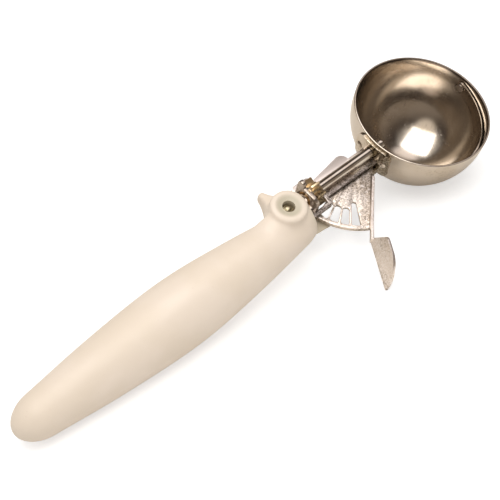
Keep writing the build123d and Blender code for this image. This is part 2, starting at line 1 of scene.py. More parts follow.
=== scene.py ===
import bmesh
import bpy
import json
from math import cos, pi, radians, sqrt
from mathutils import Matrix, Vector

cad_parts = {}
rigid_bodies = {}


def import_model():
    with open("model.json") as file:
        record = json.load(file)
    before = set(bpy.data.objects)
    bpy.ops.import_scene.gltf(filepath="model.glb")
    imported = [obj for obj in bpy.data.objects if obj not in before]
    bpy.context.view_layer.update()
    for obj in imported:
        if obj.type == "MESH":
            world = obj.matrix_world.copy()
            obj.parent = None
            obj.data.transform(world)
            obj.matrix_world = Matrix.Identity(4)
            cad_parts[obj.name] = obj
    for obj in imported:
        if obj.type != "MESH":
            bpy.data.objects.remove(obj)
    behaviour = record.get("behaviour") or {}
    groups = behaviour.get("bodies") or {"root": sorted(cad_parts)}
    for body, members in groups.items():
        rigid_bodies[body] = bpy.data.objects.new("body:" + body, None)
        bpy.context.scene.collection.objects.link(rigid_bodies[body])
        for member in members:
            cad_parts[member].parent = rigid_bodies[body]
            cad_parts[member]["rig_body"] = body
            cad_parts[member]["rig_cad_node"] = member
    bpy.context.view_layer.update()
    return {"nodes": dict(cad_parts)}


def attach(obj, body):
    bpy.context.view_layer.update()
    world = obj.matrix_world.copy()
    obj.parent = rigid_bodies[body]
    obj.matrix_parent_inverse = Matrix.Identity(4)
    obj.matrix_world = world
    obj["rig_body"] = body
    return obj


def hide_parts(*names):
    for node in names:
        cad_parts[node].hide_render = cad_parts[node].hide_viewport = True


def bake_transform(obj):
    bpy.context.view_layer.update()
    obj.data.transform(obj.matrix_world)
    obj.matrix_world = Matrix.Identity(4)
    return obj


# A thumb-lever ice cream scoop. Metres; the bowl's mouth is centred on the origin and faces +Z,
# the handle runs away along -X and the thumb pad is on the -Y side.
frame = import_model()


# Bowl: a half ball with a short straight skirt, spun from stainless sheet and polished bright.
# Years of use have left hair scratches round it and a faint straw-coloured bloom.
MM = 0.001
BOWL_RADIUS = 27.9 * MM
BOWL_WALL = 0.9 * MM
BOWL_SKIRT = 4.2 * MM
RIM_ROUND = 0.3 * MM


def new_node(tree, kind, *sources, **settings):
    """A shader node with its settings, and its first inputs linked or set in order."""
    node = tree.nodes.new(kind)
    for name, value in settings.items():
        setattr(node, name, value)
    for socket, source in zip(node.inputs, sources):
        feed(tree, socket, source)
    return node


def feed(tree, socket, source):
    if source is None:
        return
    if isinstance(source, bpy.types.NodeSocket):
        tree.links.new(source, socket)
    else:
        socket.default_value = source


def maths(tree, operation, first, second=0.0):
    return new_node(tree, "ShaderNodeMath", first, second, operation=operation).outputs[0]


def noise(tree, place, scale, detail=3.0, rough=0.5):
    node = new_node(tree, "ShaderNodeTexNoise", place)
    node.inputs["Scale"].default_value = scale
    node.inputs["Detail"].default_value = detail
    node.inputs["Roughness"].default_value = rough
    return node.outputs["Fac"]


def spread(tree, value, low, high, to_low=0.0, to_high=1.0):
    """A value remapped smoothly from one range to another and held there."""
    node = new_node(tree, "ShaderNodeMapRange", value, low, high, to_low, to_high)
    node.interpolation_type = "SMOOTHSTEP"
    return node.outputs[0]


def blend_colour(tree, share, first, second):
    node = new_node(tree, "ShaderNodeMix", data_type="RGBA")
    for socket, source in zip((node.inputs[0], node.inputs[6], node.inputs[7]), (share, first, second)):
        feed(tree, socket, source)
    return node.outputs[2]


def new_group(name, inputs, outputs):
    """An empty node group with named sockets, and its input and output nodes."""
    group = bpy.data.node_groups.new(name, "ShaderNodeTree")
    for label, kind, value in inputs:
        socket = group.interface.new_socket(name=label, in_out="INPUT", socket_type=kind)
        if value is not None:
            socket.default_value = value
    for label, kind in outputs:
        group.interface.new_socket(name=label, in_out="OUTPUT", socket_type=kind)
    return group, group.nodes.new("NodeGroupInput"), group.nodes.new("NodeGroupOutput")


def build_metal_wear():
    """Handled metal: cloudy bloom, grime in patches, fine grain and hair scratches along one way."""
    group, given, made = new_group(
        "metal_wear",
        [("Place", "NodeSocketVector", None), ("Grain way", "NodeSocketVector", (1, 1, 1)),
         ("Metal", "NodeSocketColor", (0.7, 0.7, 0.7, 1)), ("Bloom", "NodeSocketColor", (0.6, 0.5, 0.4, 1)),
         ("Grime", "NodeSocketColor", (0.2, 0.15, 0.1, 1)), ("Bloom share", "NodeSocketFloat", 0.4),
         ("Grime share", "NodeSocketFloat", 0.2), ("Polish", "NodeSocketFloat", 0.15),
         ("Dulling", "NodeSocketFloat", 0.15)],
        [("Color", "NodeSocketColor"), ("Roughness", "NodeSocketFloat"), ("Height", "NodeSocketFloat")])
    place = given.outputs["Place"]
    clouds = noise(group, place, 90.0, 3.0)
    specks = noise(group, place, 900.0, 4.0, 0.6)
    stretched = new_node(group, "ShaderNodeVectorMath", place, given.outputs["Grain way"], operation="MULTIPLY")
    lines = noise(group, stretched.outputs[0], 1500.0, 2.0, 0.7)
    bloom = maths(group, "MULTIPLY", spread(group, clouds, 0.38, 0.66), given.outputs["Bloom share"])
    patches = maths(group, "MULTIPLY", spread(group, specks, 0.5, 0.72), spread(group, clouds, 0.4, 0.6))
    grime = maths(group, "MULTIPLY", patches, given.outputs["Grime share"])
    colour = blend_colour(group, bloom, given.outputs["Metal"], given.outputs["Bloom"])
    colour = blend_colour(group, grime, colour, given.outputs["Grime"])
    dulled = maths(group, "ADD", maths(group, "MULTIPLY", lines, 0.6), maths(group, "MULTIPLY", patches, 0.9))
    rough = new_node(group, "ShaderNodeMath", dulled, given.outputs["Dulling"], given.outputs["Polish"],
                     operation="MULTIPLY_ADD").outputs[0]
    height = maths(group, "ADD", maths(group, "MULTIPLY", lines, 0.5), maths(group, "MULTIPLY", specks, 0.5))
    feed(group, made.inputs["Color"], colour)
    feed(group, made.inputs["Roughness"], rough)
    feed(group, made.inputs["Height"], height)
    return group


metal_wear = build_metal_wear()


def metal(name, colour, bloom, grime, bloom_share, grime_share, polish, dulling, grain=(1, 1, 1), relief=0.02):
    """A metal finish: the wear group in front of a plain metallic surface."""
    made = bpy.data.materials.new(name)
    made.use_nodes = True
    tree = made.node_tree
    surface = tree.nodes["Principled BSDF"]
    place = new_node(tree, "ShaderNodeTexCoord").outputs["Object"]
    wear = new_node(tree, "ShaderNodeGroup", node_tree=metal_wear)
    values = (place, grain, (*colour, 1), (*bloom, 1), (*grime, 1), bloom_share, grime_share, polish, dulling)
    for socket, source in zip(wear.inputs, values):
        feed(tree, socket, source)
    surface.inputs["Metallic"].default_value = 1.0
    feed(tree, surface.inputs["Base Color"], wear.outputs["Color"])
    feed(tree, surface.inputs["Roughness"], wear.outputs["Roughness"])
    bump = new_node(tree, "ShaderNodeBump")
    bump.inputs["Strength"].default_value = relief
    bump.inputs["Distance"].default_value = 0.1 * MM
    feed(tree, bump.inputs["Height"], wear.outputs["Height"])
    feed(tree, surface.inputs["Normal"], bump.outputs["Normal"])
    return made


def paint(piece, finish):
    """One finish all over a piece."""
    piece.data.materials.clear()
    piece.data.materials.append(finish)


def start_edit(piece=None):
    """Into edit mode on one piece with nothing selected, and its mesh for picking faces by place."""
    if piece is not None:
        bpy.ops.object.select_all(action="DESELECT")
        bpy.context.view_layer.objects.active = piece
        piece.select_set(True)
    bpy.ops.object.mode_set(mode="EDIT")
    bpy.ops.mesh.select_all(action="DESELECT")
    return bmesh.from_edit_mesh(bpy.context.object.data)


def finish_edit():
    bpy.ops.object.mode_set(mode="OBJECT")
    return bpy.context.object


def modify(piece, kind, **settings):
    """A modifier, set and applied."""
    modifier = piece.modifiers.new(kind.lower(), kind)
    for name, value in settings.items():
        setattr(modifier, name, value)
    bpy.context.view_layer.objects.active = piece
    bpy.ops.object.modifier_apply(modifier=modifier.name)


def settle(piece, name, finish, slot, body, *nodes):
    """Puts a finished piece's place in its mesh, names it and, given a body, hangs it there for its nodes."""
    bpy.ops.object.select_all(action="DESELECT")
    bpy.context.view_layer.objects.active = piece
    piece.select_set(True)
    bpy.ops.object.transform_apply(location=True, rotation=True, scale=True)
    bpy.ops.object.shade_smooth_by_angle(angle=radians(35))
    piece.name = name
    paint(piece, finish)
    if body is not None:
        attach(piece, body)
    if nodes:
        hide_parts(*nodes)
    return piece


def darken_rim_line(finish):
    """A dark ragged line inside the rim, on the inner wall and the inner half of the edge."""
    tree = finish.node_tree
    surface = tree.nodes["Principled BSDF"]
    clean = surface.inputs["Base Color"].links[0].from_socket
    place = new_node(tree, "ShaderNodeTexCoord").outputs["Object"]
    flat = new_node(tree, "ShaderNodeVectorMath", place, (1, 1, 0), operation="MULTIPLY").outputs[0]
    reach = new_node(tree, "ShaderNodeVectorMath", flat, operation="LENGTH").outputs["Value"]
    height = new_node(tree, "ShaderNodeSeparateXYZ", place).outputs["Z"]
    thickness = maths(tree, "MULTIPLY", noise(tree, place, 150.0), 1.4 * MM)
    line = spread(tree, maths(tree, "ADD", height, thickness), -0.7 * MM, 0.1 * MM)
    inside = spread(tree, reach, BOWL_RADIUS - 0.65 * BOWL_WALL, BOWL_RADIUS - 0.45 * BOWL_WALL, 0.85, 0.0)
    soiled = blend_colour(tree, maths(tree, "MULTIPLY", line, inside), clean, (0.07, 0.05, 0.04, 1))
    feed(tree, surface.inputs["Base Color"], soiled)


polished_steel = metal("polished_steel", (0.66, 0.6, 0.53), (0.57, 0.49, 0.39), (0.26, 0.2, 0.15),
                       0.5, 0.35, 0.11, 0.16, grain=(0.05, 0.05, 1.0), relief=0.05)
bowl_steel = polished_steel.copy()
bowl_steel.name = "bowl_steel"
darken_rim_line(bowl_steel)
bpy.ops.object.select_all(action="DESELECT")
bpy.ops.mesh.primitive_uv_sphere_add(segments=128, ring_count=64, radius=BOWL_RADIUS, location=(0, 0, -BOWL_SKIRT))
start_edit()
bpy.ops.mesh.select_all(action="SELECT")
bpy.ops.mesh.bisect(plane_co=(0, 0, -BOWL_SKIRT), plane_no=(0, 0, 1), clear_outer=True)
mesh = bmesh.from_edit_mesh(bpy.context.object.data)
bpy.ops.mesh.select_all(action="DESELECT")
for edge in mesh.edges:
    edge.select = edge.is_boundary
mesh.select_flush(True)
bpy.ops.mesh.extrude_region_move(TRANSFORM_OT_translate={"value": (0, 0, BOWL_SKIRT)})
bowl = finish_edit()
modify(bowl, "SOLIDIFY", thickness=BOWL_WALL, offset=-1.0, use_even_offset=True)
modify(bowl, "BEVEL", width=RIM_ROUND, segments=3, limit_method="ANGLE", angle_limit=radians(60))
settle(bowl, "spun_bowl", bowl_steel, "polished_steel", "scoop", "bowl")


# Bowl saddle: the bent plate riveted to the bowl's wall, which joins it to the frame.
# It is stamped from rolled steel, its edges are broken by tumbling, oil has darkened it in patches, and it is darker
# towards its −Y side.
EDGE_BREAK = 0.15 * MM


def rounded_copy(node, name, finish, slot, body, width=EDGE_BREAK, segments=2):
    """A solid's own shape with its edges broken, as tumbling leaves a stamped or turned part."""
    piece = frame["nodes"][node].copy()
    piece.data = piece.data.copy()
    piece.parent = None
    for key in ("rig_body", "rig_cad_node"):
        del piece[key]
    bpy.context.collection.objects.link(piece)
    start_edit(piece)
    bpy.ops.mesh.select_all(action="SELECT")
    bpy.ops.mesh.remove_doubles(threshold=0.002 * MM)
    bpy.ops.mesh.customdata_custom_splitnormals_clear()
    bpy.ops.mesh.dissolve_limited(angle_limit=radians(1.0))
    finish_edit()
    modify(piece, "BEVEL", width=width, segments=segments, limit_method="ANGLE", angle_limit=radians(40))
    return settle(piece, name, finish, slot, body, node)


# The dark brown of the speckled painted shade bands.
PAINTED_SHADE = (0.06, 0.045, 0.028, 1)
BAND_RAGGED = 16.0 * MM


def shade_and_wear_band(finish, full, gone, share, tint=PAINTED_SHADE, way=(0, 1, 0)):
    """Speckled tint over a finish, full at one distance along a way and gone at another: mostly painted shade, also
    rubbed metal.
    """
    tree = finish.node_tree
    surface = tree.nodes["Principled BSDF"]
    clean = surface.inputs["Base Color"].links[0].from_socket
    place = new_node(tree, "ShaderNodeTexCoord").outputs["Object"]
    side = new_node(tree, "ShaderNodeVectorMath", place, way, operation="DOT_PRODUCT").outputs["Value"]
    ragged_noise = noise(tree, place, 700.0, 3.0, 0.6)
    ragged = maths(tree, "ADD", side, maths(tree, "MULTIPLY", maths(tree, "SUBTRACT", ragged_noise, 0.5), BAND_RAGGED))
    flecks = spread(tree, noise(tree, place, 1500.0, 2.0, 0.6), 0.42, 0.6, 0.35, 1.0)
    reached = maths(tree, "MULTIPLY", spread(tree, ragged, full, gone, 1.0, 0.0), share)
    cover = maths(tree, "MULTIPLY", reached, flecks)
    feed(tree, surface.inputs["Base Color"], blend_colour(tree, cover, clean, tint))


SADDLE_SIDE_DARK = (0.13, 0.1, 0.05, 1)
oiled_steel = metal("oiled_steel", (0.64, 0.57, 0.49), (0.5, 0.42, 0.3), (0.1, 0.07, 0.04),
                    0.6, 0.5, 0.12, 0.2, relief=0.15)
# Darker in speckles towards the plate's −Y side.
shade_and_wear_band(oiled_steel, -1.0 * MM, 3.0 * MM, 0.85, SADDLE_SIDE_DARK)
rounded_copy("bowl_saddle", "saddle_plate", oiled_steel, "stamped_steel", "scoop")


# Bowl fastenings: two domed steel rivets through the saddle, as bright as the bowl, an oiled bush for
# the spindle's neck, and the blackened headed pin in the far wall. All are turned from bar.
rivet_steel = metal("rivet_steel", (0.72, 0.68, 0.63), (0.6, 0.5, 0.4), (0.16, 0.11, 0.07),
                    0.4, 0.5, 0.16, 0.18, relief=0.08)
bearing_bronze = metal("bearing_bronze", (0.6, 0.4, 0.2), (0.42, 0.25, 0.12), (0.1, 0.06, 0.03),
                       0.6, 0.6, 0.25, 0.2, relief=0.08)
blackened_steel = metal("blackened_steel", (0.56, 0.5, 0.45), (0.32, 0.26, 0.19), (0.05, 0.035, 0.02),
                        0.8, 1.0, 0.2, 0.3, relief=0.5)
paint(frame["nodes"]["saddle_rivets"], polished_steel)
paint(frame["nodes"]["front_bush"], oiled_steel)
paint(frame["nodes"]["far_pivot_pin"], blackened_steel)


# Scraper: a thin spring-steel strip that hugs the inside of the bowl, carried by a small collar with a
# cross pin at the spindle's neck. Its edges are rounded so that they catch a line of light.
SCRAPER_EDGE = 0.2 * MM
scraper_steel = metal("scraper_steel", (0.7, 0.64, 0.57), (0.55, 0.46, 0.37), (0.2, 0.14, 0.1),
                      0.5, 0.35, 0.1, 0.14, grain=(0.05, 1.0, 1.0), relief=0.05)
rounded_copy("scraper_blade", "scraper_strip", scraper_steel, "polished_steel", "scraper", SCRAPER_EDGE)
paint(frame["nodes"]["scraper_hub"], rivet_steel)
paint(frame["nodes"]["hub_pin"], rivet_steel)


# Spindle and pinion: a polished rod, drawn lengthwise, with a brass pinion pinned to it and a steel
# thrust washer behind. The brass has turned orange and grimy in patches, and its −Y half is darker with speckled
# painted shade.
PINION_EDGE = 0.12 * MM
spindle_steel = metal("spindle_steel", (0.72, 0.67, 0.61), (0.6, 0.5, 0.42), (0.24, 0.17, 0.12),
                      0.5, 0.4, 0.1, 0.14, grain=(0.04, 1.0, 1.0), relief=0.05)
brass = metal("brass", (0.82, 0.67, 0.45), (0.74, 0.44, 0.24), (0.16, 0.11, 0.05),
              0.8, 0.8, 0.24, 0.24, relief=0.1)
# Painted shade: the pinion's −Y half is darkened in speckles.
shade_and_wear_band(brass, -4.5 * MM, 0.5 * MM, 0.85)
paint(frame["nodes"]["spindle"], spindle_steel)
rounded_copy("pinion", "pinion_gear", brass, "brass", "scraper", PINION_EDGE)
paint(frame["nodes"]["pinion_pin"], rivet_steel)
paint(frame["nodes"]["thrust_washer"], rivet_steel)


# Lever: one stamping of plated sheet with a slotted fan, an edge turned up into the neck, and the thumb
# pad. The press leaves its edges round. Its fan is rippled and grimed in patches, with speckled painted
# shade in a band under the spindle and along the turned-up edge, and the neck and pad are rubbed bright.
LEVER_EDGE = 0.28 * MM
FAN_EDGE_SHADE = (0.16, 0.13, 0.1, 1)
ACROSS_FAN_EDGE = (0.69, -0.72, -2.0)
THUMB_BRIGHT = (0.97, 0.92, 0.9, 1)
lever_steel = metal("lever_steel", (0.86, 0.79, 0.73), (0.66, 0.57, 0.48), (0.16, 0.12, 0.08),
                    0.8, 1.0, 0.28, 0.24, relief=1.0)
# Painted shadow of the spindle and frame: a speckled dark band over the fan next to the spindle.
shade_and_wear_band(lever_steel, -9.0 * MM, -16.0 * MM, 0.7)
# Painted shade: a speckled dark band along the fan's turned-up edge.
shade_and_wear_band(lever_steel, -4.0 * MM, -8.5 * MM, 0.75, FAN_EDGE_SHADE, way=ACROSS_FAN_EDGE)
shade_and_wear_band(lever_steel, -5.0 * MM, -9.0 * MM, 1.0, THUMB_BRIGHT, way=(0, 0, 1))
rounded_copy("lever", "lever_stamping", lever_steel, "stamped_steel", "lever", LEVER_EDGE, 3)


# Lever pivot: a flush-headed rivet with a washer each side, and under it the torsion spring. On the scoop the
# spring's top leg goes with the lever and its lower leg stays in the saddle's lug; here it is hung on no body and
# keeps its rest shape.
WIRE_EDGE = 0.01 * MM
spring_steel = metal("spring_steel", (0.5, 0.47, 0.44), (0.4, 0.33, 0.27), (0.12, 0.08, 0.05),
                     0.5, 0.5, 0.2, 0.2, relief=0.05)
for node in ("lever_rivet", "upper_pivot_washer", "lower_pivot_washer"):
    paint(frame["nodes"][node], rivet_steel)
spring = rounded_copy("return_spring", "wound_spring", spring_steel, "spring_steel", None, WIRE_EDGE, 1)
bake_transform(spring)


# Frame: a flat steel plate from the saddle to the tang, with a window for the pinion, a wing beside the
# spindle, and the rear bearing riveted on. The tang narrows at a shoulder where the handle closes over it.
FRAME_EDGE = 0.2 * MM
FRAME_SHADE = (0.1, 0.08, 0.055, 1)
TANG_BACK = -111.7 * MM
TANG_SIDE = -0.4 * MM
TANG_SHOULDER = -72.6 * MM
BELOW_FRAME = -9.0 * MM
ABOVE_FRAME = -6.0 * MM
BESIDE_FRAME = 4.0 * MM


def cut(piece, tool):
    """Takes one solid out of another."""
    modify(piece, "BOOLEAN", operation="DIFFERENCE", object=tool, solver="EXACT")
    bpy.data.objects.remove(tool)


def add_block(low, high):
    """Box between two corners."""
    middle = [(a + b) / 2 for a, b in zip(low, high)]
    bpy.ops.mesh.primitive_cube_add(size=1.0, location=middle, scale=[b - a for a, b in zip(low, high)])
    return bpy.context.object


frame_steel = metal("frame_steel", (0.92, 0.86, 0.83), (0.84, 0.75, 0.71), (0.38, 0.3, 0.25),
                    0.4, 0.3, 0.34, 0.14, grain=(0.1, 1.0, 1.0), relief=0.2)
# Painted shade: the plate's −Y side, beside and under the spindle, is darkened in speckles.
shade_and_wear_band(frame_steel, -4.0 * MM, 1.5 * MM, 0.85, FRAME_SHADE)
frame_plate = rounded_copy("frame", "frame_plate", frame_steel, "stamped_steel", "scoop", FRAME_EDGE)
cut(frame_plate, add_block((TANG_BACK, TANG_SIDE, BELOW_FRAME), (TANG_SHOULDER, BESIDE_FRAME, ABOVE_FRAME)))
rounded_copy("rear_bearing", "bearing_bracket", blackened_steel, "stamped_steel", "scoop", FRAME_EDGE)
paint(frame["nodes"]["rear_bush"], bearing_bronze)
paint(frame["nodes"]["bearing_rivets"], rivet_steel)
paint(frame["nodes"]["stop_pin"], rivet_steel)


# Handle: one moulding in ivory plastic round the frame's tang, with a round boss over the rivet and
# a horn for the forefinger. It is semi-gloss, faintly mottled, and stained by oil round the rivet.
RIVET_X = -78.7 * MM
RIVET_Y = -2.6 * MM
GRIP_TAIL = -199.1 * MM
GRIP_Y = -7.0 * MM
GRIP_Z = -5.4 * MM
TAIL_STATION = 9.2
GRIP_RADII = ((9.2, 7.85), (36.0, 10.9), (68.0, 12.7), (98.0, 10.6), (111.0, 9.1), (126.0, 7.2))
GRIP_STEP = 4.0
HEAD_RADIUS = 10.4 * MM
HEAD_Y = -3.1 * MM
HEAD_Z = -5.1 * MM
HEAD_STATIONS = ((-24.0, -7.0, -5.4, 8.2), (-15.0, -6.0, -5.3, 9.0), (-8.0, -4.4, -5.2, 9.9),
                 (-2.0, -3.3, -5.1, 10.3), (4.0, -3.1, -5.1, 10.4), (18.1, -3.9, -5.1, 10.9))
HEAD_FRONT = RIVET_X + HEAD_STATIONS[-1][0] * MM
HEAD_PLUS = RIVET_Y + 3.2 * MM
LIP_CHAMFER = 0.4 * MM
LIP_TOP = -10.93 * MM
LIP_ROOM = 0.3 * MM
PAST_HEAD = 30.0 * MM
BOSS_RADIUS = 7.0 * MM
BOSS_TOP = 6.5 * MM
HORN_Z = -3.2 * MM
HORN_RIBS = ((0.0, -16.0, 5.0, 9.6), (2.4, -11.5, 5.0, 9.4), (3.6, -7.6, 5.0, 9.2), (5.2, -4.9, 4.9, 9.0),
             (7.0, -3.6, 4.2, 8.2), (8.8, -2.8, 2.8, 7.0), (10.6, -2.2, 1.7, 5.8), (12.4, -1.9, 1.2, 4.8),
             (13.7, -1.7, 0.9, 4.2))
MOULD_GRAIN = 0.45 * MM
DISH_RADIUS = 5.0 * MM
DISH_DEPTH = 0.9 * MM
HOLE_RADIUS = 2.4 * MM
HOLE_DEPTH = 3.0 * MM
DISH_AT_HOLE = 0.7 * MM
TANG_HALF = 5.1 * MM
TANG_LOW = -8.23 * MM
TANG_HIGH = -6.53 * MM
TANG_GAP = 0.1 * MM


def grip_radius(station):
    """Radius of the grip at a distance from its tail, smooth through the named ones."""
    knots = GRIP_RADII
    slopes = [(b[1] - a[1]) / (b[0] - a[0]) for a, b in zip(knots, knots[1:])]
    ways = [slopes[0]] + [(a + b) / 2 for a, b in zip(slopes, slopes[1:])] + [slopes[-1]]
    if station < knots[0][0]:
        round_end = sqrt(1 - (1 - station / TAIL_STATION) ** 2)
        return (knots[0][1] + ways[0] * (station - knots[0][0])) * round_end * MM
    place = max(i for i, knot in enumerate(knots[:-1]) if knot[0] <= station)
    (low, start), (high, end) = knots[place], knots[place + 1]
    span = high - low
    t = (station - low) / span
    radius = ((2 * t**3 - 3 * t**2 + 1) * start + (t**3 - 2 * t**2 + t) * span * ways[place]
              + (3 * t**2 - 2 * t**3) * end + (t**3 - t**2) * span * ways[place + 1])
    return radius * MM


def grow(shift, scale, middle):
    """Pulls the selected face out by one step and scales it about a point."""
    bpy.ops.mesh.extrude_region_move(TRANSFORM_OT_translate={"value": shift})
    bpy.ops.transform.resize(value=scale, center_override=middle)


def add_grip():
    """Grip, round in section, drawn out ring by ring from its tail into the head."""
    tail = [TAIL_STATION * (1 - cos(radians(step * 7.5))) for step in range(1, 13)]
    stations = tail + [TAIL_STATION + GRIP_STEP * step for step in range(1, 30)]
    bpy.ops.mesh.primitive_circle_add(
        vertices=96, radius=grip_radius(stations[0]), fill_type="NGON",
        location=(GRIP_TAIL + stations[0] * MM, GRIP_Y, GRIP_Z), rotation=(0, pi / 2, 0))
    bpy.ops.object.mode_set(mode="EDIT")
    for before, after in zip(stations, stations[1:]):
        scale = grip_radius(after) / grip_radius(before)
        grow(((after - before) * MM, 0, 0), (1, scale, scale), (GRIP_TAIL + after * MM, GRIP_Y, GRIP_Z))
    return finish_edit()


def add_head():
    """Barrel that grows out of the grip, flat on the horn's side, with its front corners taken off."""
    along, side, rise, radius = HEAD_STATIONS[0]
    bpy.ops.mesh.primitive_circle_add(
        vertices=96, radius=radius * MM, fill_type="NGON", location=(RIVET_X + along * MM, side * MM, rise * MM),
        rotation=(0, pi / 2, 0))
    bpy.ops.object.mode_set(mode="EDIT")
    for old, new in zip(HEAD_STATIONS, HEAD_STATIONS[1:]):
        scale = new[3] / old[3]
        shift = [(b - a) * MM for a, b in zip(old[:3], new[:3])]
        grow(shift, (1, scale, scale), (RIVET_X + new[0] * MM, new[1] * MM, new[2] * MM))
    corner = HEAD_FRONT - LIP_CHAMFER
    for place, way in (
        ((0, HEAD_PLUS, 0), (0, 1, 0)), ((corner, HEAD_PLUS, 0), (1, 1, 0)),
        ((corner, HEAD_Y - HEAD_RADIUS, 0), (1, -1, 0)),
    ):
        bpy.ops.mesh.select_all(action="SELECT")
        bpy.ops.mesh.bisect(plane_co=place, plane_no=way, use_fill=True, clear_outer=True)
    return finish_edit()


def add_horn():
    """Pulled out rib by rib from the head's flat side to a blunt point."""
    reach, back, front, depth = HORN_RIBS[0]
    bpy.ops.mesh.primitive_plane_add(
        size=1.0, location=(RIVET_X + (back + front) / 2 * MM, RIVET_Y + reach * MM, HORN_Z), rotation=(-pi / 2, 0, 0))
    bpy.ops.transform.resize(value=((front - back) * MM, 1, depth * MM))
    bpy.ops.object.transform_apply(location=False, rotation=True, scale=True)
    bpy.ops.object.mode_set(mode="EDIT")
    for old, new in zip(HORN_RIBS, HORN_RIBS[1:]):
        slide = ((new[1] + new[2]) - (old[1] + old[2])) / 2 * MM
        middle = (RIVET_X + (new[1] + new[2]) / 2 * MM, RIVET_Y + new[0] * MM, HORN_Z)
        scale = ((new[2] - new[1]) / (old[2] - old[1]), 1, new[3] / old[3])
        grow((slide, (new[0] - old[0]) * MM, 0), scale, middle)
    bpy.ops.mesh.select_all(action="SELECT")
    bpy.ops.mesh.normals_make_consistent(inside=False)
    return finish_edit()


def add_post(radius, low, high):
    """Upright rod on the handle rivet's line."""
    bpy.ops.mesh.primitive_cylinder_add(
        vertices=96, radius=radius, depth=high - low, location=(RIVET_X, RIVET_Y, (low + high) / 2))
    return bpy.context.object


bpy.ops.object.select_all(action="DESELECT")
lumps = [add_grip(), add_head(), add_post(BOSS_RADIUS, GRIP_Z, BOSS_TOP), add_horn()]
for lump in lumps:
    lump.select_set(True)
bpy.context.view_layer.objects.active = lumps[0]
bpy.ops.object.join()
handle = bpy.context.object
bpy.ops.object.transform_apply(location=True, rotation=True, scale=True)
modify(handle, "REMESH", mode="VOXEL", voxel_size=MOULD_GRAIN)
cut(handle, add_block((RIVET_X + BOSS_RADIUS, -PAST_HEAD, LIP_TOP - LIP_ROOM), (0, PAST_HEAD, PAST_HEAD)))
modify(handle, "REMESH", mode="VOXEL", voxel_size=MOULD_GRAIN)
modify(handle, "SMOOTH", factor=0.5, iterations=32)
dish_ball = (DISH_RADIUS**2 + DISH_DEPTH**2) / (2 * DISH_DEPTH)
bpy.ops.mesh.primitive_uv_sphere_add(segments=192, ring_count=96, radius=dish_ball,
                                     location=(RIVET_X, RIVET_Y, BOSS_TOP - DISH_DEPTH + dish_ball))
cut(handle, bpy.context.object)
cut(handle, add_post(HOLE_RADIUS, BOSS_TOP - DISH_AT_HOLE - HOLE_DEPTH, BOSS_TOP + MM))
cut(handle, add_post(HOLE_RADIUS, HEAD_Z - HEAD_RADIUS - MM, HEAD_Z - HEAD_RADIUS + HOLE_DEPTH))
cut(handle, add_block((TANG_BACK, RIVET_Y - TANG_HALF, TANG_LOW), (TANG_SHOULDER, TANG_SIDE + TANG_GAP, TANG_HIGH)))


def ivory():
    """Ivory plastic, faintly mottled, green-brown round the rivet, and with painted shade towards the lip, under the
    fan.
    """
    made = bpy.data.materials.new("ivory_plastic")
    made.use_nodes = True
    tree = made.node_tree
    surface = tree.nodes["Principled BSDF"]
    place = new_node(tree, "ShaderNodeTexCoord").outputs["Object"]
    clouds = noise(tree, place, 60.0, 3.0)
    specks = noise(tree, place, 1200.0, 3.0, 0.6)
    colour = blend_colour(tree, spread(tree, clouds, 0.35, 0.65), (0.9, 0.77, 0.64, 1), (0.86, 0.73, 0.59, 1))
    colour = blend_colour(tree, spread(tree, specks, 0.62, 0.78, 0.0, 0.25), colour, (0.7, 0.55, 0.42, 1))
    flat = new_node(tree, "ShaderNodeVectorMath", place, (1, 1, 0), operation="MULTIPLY").outputs[0]
    reach = new_node(tree, "ShaderNodeVectorMath", flat, (RIVET_X, RIVET_Y, 0), operation="DISTANCE").outputs["Value"]
    split = new_node(tree, "ShaderNodeSeparateXYZ", place)
    along, rise = split.outputs["X"], split.outputs["Z"]
    ragged = maths(tree, "ADD", reach, maths(tree, "MULTIPLY", clouds, 2.0 * MM))
    on_boss = maths(tree, "MULTIPLY", spread(tree, ragged, 4.4 * MM, 6.6 * MM, 1.0, 0.0),
                    spread(tree, rise, 0.0, BOSS_TOP - 2 * MM))
    colour = blend_colour(tree, maths(tree, "MULTIPLY", on_boss, 0.6), colour, (0.42, 0.39, 0.26, 1))
    # Painted shade: the head's front towards the lip, under the fan, is darkened olive.
    ragged_along = maths(tree, "ADD", along, maths(tree, "MULTIPLY", clouds, 3.0 * MM))
    lip_shade = spread(tree, ragged_along, RIVET_X + 4.0 * MM, RIVET_X + 13.0 * MM, 0.0, 0.7)
    colour = blend_colour(tree, lip_shade, colour, (0.46, 0.4, 0.27, 1))
    feed(tree, surface.inputs["Base Color"], colour)
    feed(tree, surface.inputs["Roughness"], spread(tree, clouds, 0.3, 0.7, 0.34, 0.48))
    bump = new_node(tree, "ShaderNodeBump")
    bump.inputs["Strength"].default_value = 0.05
    bump.inputs["Distance"].default_value = 0.1 * MM
    feed(tree, bump.inputs["Height"], specks)
    feed(tree, surface.inputs["Normal"], bump.outputs["Normal"])
    return made


ivory_plastic = ivory()
settle(handle, "handle_moulding", ivory_plastic, "ivory_plastic", "scoop", "handle")


